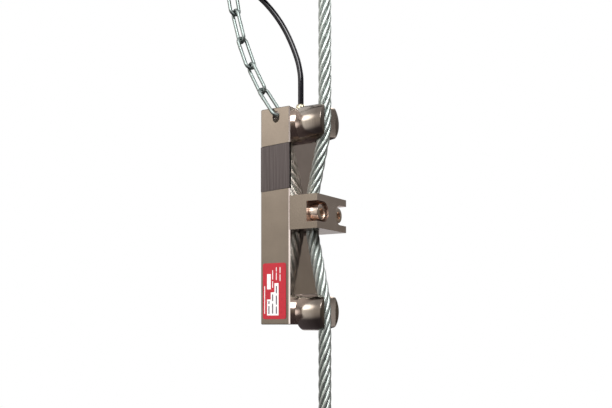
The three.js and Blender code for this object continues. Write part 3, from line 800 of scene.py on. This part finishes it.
def add_cap():
    low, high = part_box("clamp_cap")
    piece = block("milled_cap", low, high, cap_material)
    reach = GROOVE_WALL
    section = [(-13 * MM, -reach)]
    for k in range(17):
        angle = math.pi * (k / 16 - 0.5)
        section.append((reach * math.cos(angle), reach * math.sin(angle)))
    section.append((-13 * MM, reach))
    channel = prism_along("channel", rope_points(-24 * MM, 24 * MM), section)
    channel.data.materials.append(cap_material)
    cutter("channel", piece, channel)
    seat = high[0] - COUNTERBORE_DEPTH
    for y in SCREW_YS.values():
        outside = math.copysign(high[1] + 2 * MM, y)
        bore = revolve("bore", [(0, 0), (COUNTERBORE_RADIUS, 0), (COUNTERBORE_RADIUS, 14 * MM), (0, 14 * MM)],
                       (seat, y, 0), (1, 0, 0), bore_painted_light, 96)
        cutter("bore", piece, bore)
        slot = block("slot", (seat, min(y, outside), -COUNTERBORE_RADIUS),
                     (high[0] + 2 * MM, max(y, outside), COUNTERBORE_RADIUS), bore_painted_light)
        cutter("slot", piece, slot)
        hole = revolve("hole", [(0, 0), (4.3 * MM, 0), (4.3 * MM, 24 * MM), (0, 24 * MM)],
                       (low[0] - 2 * MM, y, 0), (1, 0, 0), cap_material, 48)
        cutter("hole", piece, hole)
    chamfered(piece, 0.5 * MM, 1, 30)
    stands_for(piece, "clamp_cap", "cap", "clamp_cap")


def knurled(piece, axis, centre, span, least, teeth, depth):
    """Presses teeth into a turned piece between two places on its axis, outside the least radius."""
    across, up = (k for k in range(3) if k != axis)
    for vert in piece.data.vertices:
        away = Vector((vert.co[across] - centre[0], vert.co[up] - centre[1]))
        if span[0] <= vert.co[axis] <= span[1] and away.length > least:
            away *= 1 - depth / away.length * (0.5 + 0.5 * math.cos(teeth * math.atan2(away.y, away.x)))
            vert.co[across], vert.co[up] = centre[0] + away.x, centre[1] + away.y
    return sharp_smooth(piece, 24)


def add_socket_screw(node, y):
    """A socket head screw with a knurled head, a dished top edge and a threaded end."""
    low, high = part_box(node)
    radius = (high[2] - low[2]) / 2
    length = high[0] - low[0]
    seat = length - 8 * MM
    shank, root, pitch = 4 * MM, 3.35 * MM, 1.25 * MM
    profile = [(0, 0), (shank - 0.8 * MM, 0)]
    for k in range(14):
        z = 0.6 * MM + k * pitch
        profile += [(root, z), (shank, z + pitch * 0.5), (root, z + pitch)]
    profile += [(shank, seat - 8 * MM), (shank, seat - 0.1 * MM), (radius - 0.3 * MM, seat),
                (radius, seat + 0.3 * MM), (radius, length - 1.0 * MM),
                (radius - 0.3 * MM, length - 0.3 * MM), (radius - 1.0 * MM, length), (0, length)]
    name = "socket_screw_" + node.split("_")[-1]
    piece = revolve(name, profile, (low[0], y, 0), (1, 0, 0), screw_material, 72)
    span = low[0] + seat + 0.2 * MM, low[0] + length - 0.95 * MM
    knurled(piece, 0, (y, 0), span, radius - 0.1 * MM, 36, radius * 0.02)
    socket = in_mm([(0, 0), (3.3, 0.8), (3.46, 0.8), (3.46, 8), (0, 8)])
    key = revolve("key", socket, (high[0] - 4.4 * MM, y, 0), (1, 0, 0), screw_material, 6)
    cutter("key", piece, key)
    sharp_smooth(piece, 30)
    stands_for(piece, node, "screw", node)


add_cap()
for screw, screw_y in SCREW_YS.items():
    add_socket_screw(screw, screw_y)


# ---------- label ----------
WHITE_FIELDS = ((-20.15, -16.1, -84.4, -57.7), (-23.85, -20.15, -84.4, -65.2), (-27.6, -23.85, -62.7, -50),
                (-27.6, -23.85, -84.4, -71.1))  # x from and to, z from and to, in mm
GREY_BARS = ((-18.2, ((-83, -77), (-75.5, -68), (-66, -60))), (-22.0, ((-83, -74.5), (-72.5, -67))),
             (-25.7, ((-83.2, -76.5), (-75, -72.5))))  # x, then z from and to, in mm
WHITE_RULES = ((-14.6, ((-56, -50.5), (-49.5, -44.5))), (-18.3, ((-55, -49), (-48, -44.5))),
               (-22.0, ((-61.5, -56), (-54.5, -47))), (-30.0, ((-83, -60),)))


def add_label():
    """A red printed label with blank white fields and plain bars where words would be."""
    low, high = (Vector(c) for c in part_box("name_label"))
    red = mottled("label_red", (0.45, 0.006, 0.022), 0.0, 0.34, 420, 0.06, 0.05, coat=0.1)
    white = mottled("label_white", (0.86, 0.85, 0.86), 0.0, 0.4, 500, 0.03, 0.04)
    grey = mottled("label_grey", (0.12, 0.1, 0.12), 0.0, 0.45, 500, 0.1, 0.04)
    corner = 1.8 * MM
    outline = []
    for cx, cz, start in ((high.x - corner, high.z - corner, 0), (low.x + corner, high.z - corner, 90),
                          (low.x + corner, low.z + corner, 180), (high.x - corner, low.z + corner, 270)):
        for k in range(9):
            angle = math.radians(start + k * 90 / 8)
            outline.append((cx + corner * math.cos(angle), cz + corner * math.sin(angle)))
    count = len(outline)
    verts = [Vector((x, y, z)) for y in (high.y, low.y) for x, z in outline]
    faces = [tuple(range(count)), tuple(reversed(range(count, 2 * count)))]
    faces += [(k, k + count, (k + 1) % count + count, (k + 1) % count) for k in range(count)]
    plates = [mesh_from("label_base", verts, faces, red, smooth=False)]
    proud = low.y - 0.04 * MM
    for x0, x1, z0, z1 in WHITE_FIELDS:
        plates.append(block("field", (x0 * MM, proud, z0 * MM), (x1 * MM, low.y + 0.1 * MM, z1 * MM), white))
    printed = (GREY_BARS, 0.6, proud - 0.03 * MM, grey), (WHITE_RULES, 0.35, proud, white)
    for lines, half, front, material in printed:
        for x, runs in lines:
            for z0, z1 in runs:
                corners = ((x - half) * MM, front, z0 * MM), ((x + half) * MM, low.y, z1 * MM)
                plates.append(block("line", *corners, material))
    stands_for(joined("printed_label", plates), "load_cell", "label", "name_label")


add_label()


# ---------- chain and quick link ----------
LINK_WIRE = 3 * MM


def oval_points(length, width, count):
    """The centre line of a link standing on its lower crown: two straights and two half rounds."""
    radius, straight = width / 2, length - width
    total = 2 * straight + 2 * math.pi * radius
    points = []
    for i in range(count):
        along = total * i / count
        if along < straight:
            points.append(Vector((radius, 0, radius + along)))
            continue
        along -= straight
        if along < math.pi * radius:
            angle = along / radius
            points.append(Vector((radius * math.cos(angle), 0, radius + straight + radius * math.sin(angle))))
            continue
        along -= math.pi * radius
        if along < straight:
            points.append(Vector((-radius, 0, radius + straight - along)))
            continue
        angle = (along - straight) / radius
        points.append(Vector((-radius * math.cos(angle), 0, radius - radius * math.sin(angle))))
    return points


def link_matrix(start, lean, roll):
    along = Vector((-math.sin(lean), 0, math.cos(lean)))
    side = Vector((math.cos(lean), 0, math.sin(lean)))
    across = Vector((0, 1, 0)) * math.cos(roll) + side * math.sin(roll)
    third = along.cross(across)
    matrix = Matrix((across, third, along)).transposed().to_4x4()
    matrix.translation = start
    return matrix, along


CHAIN_START = Vector((-17.9, -22, 82.1)) * MM
CHAIN_LEANS = (35, 28.5, 21.6, 16, 11)
CHAIN_ROLL = 25
QUICK_LINK = {"wire": 4 * MM, "length": 36 * MM, "width": 12 * MM, "sleeve": 15 * MM}


def add_chain():
    length, width = 29 * MM, 8.4 * MM
    start = CHAIN_START.copy()
    for index, lean in enumerate(CHAIN_LEANS):
        weld = 15 if index % 2 else 65

        def wire(i, angle, weld=weld):
            swell = 1 + 0.1 * math.exp(-((i - weld) / 2.0) ** 2)
            return LINK_WIRE / 2 * swell

        line = oval_points(length, width, 112)
        piece = sweep(f"welded_link_{index + 1}", line, wire, 20, zinc_material, closed=True)
        matrix, along = link_matrix(start, math.radians(lean), math.radians(CHAIN_ROLL + 90 * (index % 2)))
        piece.data.transform(matrix)
        node = f"chain_link_{index + 1}"
        stands_for(piece, node, "chain", node)
        last = index + 1 == len(CHAIN_LEANS)
        following = lean - 4 if last else CHAIN_LEANS[index + 1]
        reach = ((LINK_WIRE + QUICK_LINK["wire"]) / 2 if last else LINK_WIRE) + 0.3 * MM
        between = math.radians((lean + following) / 2)
        start = start + along * length + Vector((math.sin(between), 0, -math.cos(between))) * reach
    return start


def add_quick_link(start):
    """An oval link with a gap, threaded at both sides of it, and a hexagonal sleeve."""
    length, width = QUICK_LINK["length"], QUICK_LINK["width"]
    wire = QUICK_LINK["wire"] / 2
    matrix = link_matrix(start, math.radians(CHAIN_LEANS[-1] - 4), math.radians(CHAIN_ROLL + 90))[0]
    middle = length / 2
    points = oval_points(length, width, 480)
    gap = 2.5 * MM
    first = next(i for i, p in enumerate(points) if p.x > 0 and p.z > middle + gap)
    total = len(points)
    line = [points[(first + i) % total] for i in range(total)]
    line = [p for p in line if not (p.x > 0 and abs(p.z - middle) <= gap)]
    threaded = middle - gap - 5 * MM, middle + gap + 5 * MM

    def section(i, angle):
        place = line[i]
        if place.x > 0 and threaded[0] < place.z < threaded[1]:
            return wire * (0.93 + 0.06 * math.sin(2 * math.pi * place.z / (0.7 * MM) + angle))
        return wire

    piece = sweep("oval_quick_link", line, section, 20, zinc_material)
    piece.data.transform(matrix)
    stands_for(piece, "quick_link", "chain", "quick_link")
    half = QUICK_LINK["sleeve"] / 2
    bore = wire + 0.3 * MM
    outer = 4 * MM
    sides = 72
    verts = []
    edge = 0.3 * MM
    below = ((bore, -half + edge, 0), (bore + edge, -half, 0), (outer * 0.84, -half, 0.2),
             (outer, -half + 2 * edge, 1))
    above = tuple((radius, -height, flat) for radius, height, flat in reversed(below))
    for radius, height, flat in below + above:  # flat is how nearly the ring is a hexagon
        for k in range(sides):
            angle = 2 * math.pi * k / sides
            corner = math.pi / 6 - abs((angle % (math.pi / 3)) - math.pi / 6)
            hexagonal = min(radius * math.cos(math.pi / 6) / math.cos(math.pi / 6 - corner), radius * 0.985)
            reach = radius + (hexagonal - radius) * flat
            across = width / 2 + reach * math.cos(angle)
            verts.append(Vector((across, reach * math.sin(angle), middle + height)))
    faces = tube_faces(len(below + above), sides, closed=True)
    sleeve = sharp_smooth(mesh_from("hex_sleeve", verts, faces, sleeve_material), 25)
    sleeve.data.transform(matrix)
    stands_for(sleeve, "quick_link_sleeve", "chain", "quick_link_sleeve")


add_quick_link(add_chain())


# ---------- gland and connector ----------
def upright(name, node, profile, material, segments, keep_open=True):
    """A turned piece on a node's upright axis: (radius, height) in mm, up from the node's foot."""
    middle, foot = middle_of(node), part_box(node)[0][2]
    start = (middle.x, middle.y, 0)
    return revolve(name, in_mm(profile, foot), start, (0, 0, 1), material, segments, keep_open)


def fluted(piece, node, low, high, least, teeth, depth):
    """Upright teeth between two heights in mm above the node's foot."""
    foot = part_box(node)[0][2]
    span = foot + low * MM, foot + high * MM
    return knurled(piece, 2, middle_of(node), span, least * MM, teeth, depth * MM)


def add_gland():
    collar = [(2.85, 0), (3.2, 0), (3.2, 12.3), (4.1, 12.3), (4.5, 12.7), (4.5, 14.2), (4, 14.4), (4, 14.8),
              (4.5, 15), (4.5, 17.2), (4, 17.7), (2.85, 17.7)]
    piece = upright("gland_collar", "cable_gland", collar, gland_material, 96)
    stands_for(piece, "load_cell", "gland", "cable_gland")
    nut = [(2.85, 0), (4, 0), (4.3, 0.3), (4.3, 1.6), (4.3, 3.6), (3.95, 4.3), (3.5, 5.2), (2.85, 5)]
    piece = upright("gland_cap_nut", "gland_nut", nut, gland_material, 144)
    stands_for(fluted(piece, "gland_nut", 0.2, 3.7, 3.9, 24, 0.25), "load_cell", "gland", "gland_nut")


def add_plug():
    """The connector's shell, with a fluted grip, a ribbed cable end and five pins."""
    node = "connector_body"
    shell = [(0, 1.2), (3.5, 1.2), (3.5, 0), (4.2, 0), (4.2, 12), (6, 12), (6.5, 12.5)]
    shell += [(6.5, 13.5 + 15.5 * k / 6) for k in range(7)]
    for k in range(4):
        z, wide = 30 + 1.9 * k, 6.1 - 0.42 * k
        shell += [(wide - 0.7, z), (wide, z + 0.35), (wide, z + 1.1), (wide - 0.7, z + 1.45)]
    shell += [(4, 38), (0, 38)]
    pieces = [fluted(upright("shell", node, shell, black_plastic, 120, False), node, 13.2, 29.2, 6, 20, 0.35)]
    pin = in_mm([(0, 0), (0.45, 0), (0.45, 2.2), (0.25, 2.6), (0, 2.7)])
    middle, foot = middle_of(node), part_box(node)[0][2]
    for k in range(5):
        angle = 2 * math.pi * k / 5
        place = (middle.x + 2 * MM * math.cos(angle), middle.y + 2 * MM * math.sin(angle), foot + 1.3 * MM)
        pieces.append(revolve("pin", pin, place, (0, 0, -1), nut_material, 16))
    return stands_for(joined("connector_plug", pieces), "load_cell", "connector", node)


def add_plug_nut():
    """The connector's knurled nut, threaded inside."""
    node = "connector_nut"
    ring = [(4.6, 18), (4.6, 14)]
    for k in range(12):
        ring += [(5.75, 13.7 - 1.1 * k), (5.45, 13.15 - 1.1 * k)]
    ring += [(5.75, 0.2), (6, 0), (6.7, 0), (7.26, 0.24)]
    ring += [(7.5, 0.8 + 16.4 * k / 6) for k in range(7)]
    ring += [(7.26, 17.76), (6.7, 18)]
    nut = fluted(upright("knurled_nut", node, ring, nut_material, 216), node, 2.2, 15.8, 7.4, 36, 0.45)
    return stands_for(nut, node, "connector_nut", node)


# ---------- strap ----------
def filleted(outline, radius, steps=6):
    """The outline with its corners rounded."""
    points = []
    count = len(outline)
    for i in range(count):
        corner = Vector(outline[i])
        before = (Vector(outline[i - 1]) - corner).normalized()
        after = (Vector(outline[(i + 1) % count]) - corner).normalized()
        half = before.angle(after) / 2
        reach = radius / math.tan(half)
        centre = corner + (before + after).normalized() * (radius / math.sin(half))
        first, last = corner + before * reach - centre, corner + after * reach - centre
        turn = math.atan2(first.x * last.y - first.y * last.x, first.dot(last))
        for k in range(steps + 1):
            angle = turn * k / steps
            points.append(centre + Vector((first.x * math.cos(angle) - first.y * math.sin(angle),
                                           first.x * math.sin(angle) + first.y * math.cos(angle))))
    return points


STRAP_OUTLINE = [
    (-18.3, -11.2), (16, -11.2), (23.2, -6), (23.2, 6), (18, 12), (0, 26), (-14, 26), (-18.3, 20),
]
STRAP_THICKNESS = 1.2 * MM
STRAP_ROWS = 13  # of points across each face


def strap_weave():
    material = material_of("strap_weave", (0.018, 0.018, 0.021), 0, 0.85, sheen=0.35)
    nodes = Nodes(material)
    threads = nodes.math("MULTIPLY", nodes.wave(560, "Z", 0.4), nodes.wave(560, "DIAGONAL", 0.4))
    fuzz = nodes.noise(2600.0)
    height = nodes.weighted(threads, fuzz, 0.4)
    nodes.set("Base Color", nodes.colors(height, [
        (0.15, (0.008, 0.008, 0.01)), (0.5, (0.02, 0.02, 0.023)), (0.85, (0.05, 0.05, 0.055))]))
    nodes.set("Roughness", nodes.ramp(fuzz, 0.75, 0.95))
    nodes.bump(height, 0.5, 0.0004)
    return material


def strap_band(name, line, closed, offset, half_height, material):
    """A woven band standing on a line, with thicker edges: offset is how far out its inner face is."""
    count, rows = len(line), STRAP_ROWS
    middle = middle_of("coil_strap").z
    verts = []
    for i, place in enumerate(line):
        before = line[(i - 1) % count] if closed or i else line[0]
        after = line[(i + 1) % count] if closed or i < count - 1 else line[-1]
        tangent = (after - before).normalized()
        for k in range(2 * rows):
            outside = k < rows
            across = -1 + 2 * (k if outside else 2 * rows - 1 - k) / (rows - 1)
            edge = max(0.0, (abs(across) - 0.8) / 0.2)
            round_off = 0.3 * MM * (1 - math.sqrt(max(0.0, 1 - max(0.0, (abs(across) - 0.9) / 0.1) ** 2)))
            depth = offset + round_off
            if outside:
                swell = 0.16 * math.sin(math.pi * min(1, edge)) + 0.12 * math.sin(i * 0.23 + across)
                depth = offset + STRAP_THICKNESS + swell * MM - round_off
            x, y = place.x + tangent.y * depth, place.y - tangent.x * depth
            verts.append((x, y, middle + across * half_height))
    piece = mesh_from(name, verts, tube_faces(count, 2 * rows, closed), material)
    bm = bmesh.new()
    bm.from_mesh(piece.data)
    bmesh.ops.recalc_face_normals(bm, faces=bm.faces)
    bm.to_mesh(piece.data)
    bm.free()
    return sharp_smooth(piece, 50)


def add_strap():
    """The band round the coil and the sleeve, with its end lapped over the front."""
    weave = strap_weave()
    outline = filleted([Vector(p) * MM for p in STRAP_OUTLINE], 2.4 * MM)
    dense = evenly([Vector((*p, 0)) for p in outline + outline[:1]], 1.0 * MM)[:-1]
    line = [Vector((p.x, p.y)) for p in dense]
    band = strap_band("band", line, True, 0, 8 * MM, weave)
    front = [p for p in line if p.y < -11.1 * MM and -13 * MM < p.x < 13.5 * MM]
    front.sort(key=lambda p: p.x)
    tab = strap_band("tab", front, False, STRAP_THICKNESS + 0.25 * MM, 7.6 * MM, weave)
    stands_for(joined("hook_and_loop_strap", [band, tab]), "load_cell", "strap", "coil_strap")


# ---------- the rope's end fittings ----------
def add_terminal(side, mouth, up):
    """A swaged sleeve with pressed rings, its neck narrowing into a forged eye."""
    sleeve = [(0, 0.25), (5.4, 0.25), (5.7, 0), (6.5, 0), (8.3, 1.9), (8.5, 2.4)]
    for k in range(9):
        z = 8 + 5.2 * k
        sleeve += [(8.5, z - 0.9), (8.28, z - 0.45), (8.28, z + 0.45), (8.5, z + 0.9)]
    sleeve += [(7.45 + 1.05 * math.cos(math.pi * k / 8), 56 + 1.9 * k) for k in range(9)]
    sleeve += [(6.4, 74.5), (0, 74.5)]
    x = middle_of(f"{side}_rope_terminal").x
    pieces = [revolve("sleeve", in_mm(sleeve), (x, 0, mouth), (0, 0, up), sleeve_material, 96)]
    bore, rim, thick, edge = 8.5, 18, 13, 1.4
    turn = [(edge * math.sin(math.pi / 8 * k), edge * math.cos(math.pi / 8 * k)) for k in range(5)]
    ring = [(bore + edge - a, edge - b) for a, b in reversed(turn)]
    ring += [(rim - edge + a, edge - b) for a, b in turn]
    ring += [(rim - edge + a, thick - edge + b) for a, b in reversed(turn)]
    ring += [(bore + edge - a, thick - edge + b) for a, b in turn]
    place = (x, -thick / 2 * MM, mouth + up * 86 * MM)
    pieces.append(revolve("eye", in_mm(ring), place, (0, 1, 0), sleeve_material, 128, keep_open=True))
    piece = sharp_smooth(joined(f"swaged_eye_{side}", pieces), 40)
    return stands_for(piece, "load_cell", "terminal", f"{side}_rope_terminal")


add_gland()
plug, plug_nut = add_plug(), add_plug_nut()
add_strap()
eyes = [add_terminal("upper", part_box("upper_rope_terminal")[0][2], 1),
        add_terminal("lower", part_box("lower_rope_terminal")[1][2], -1)]
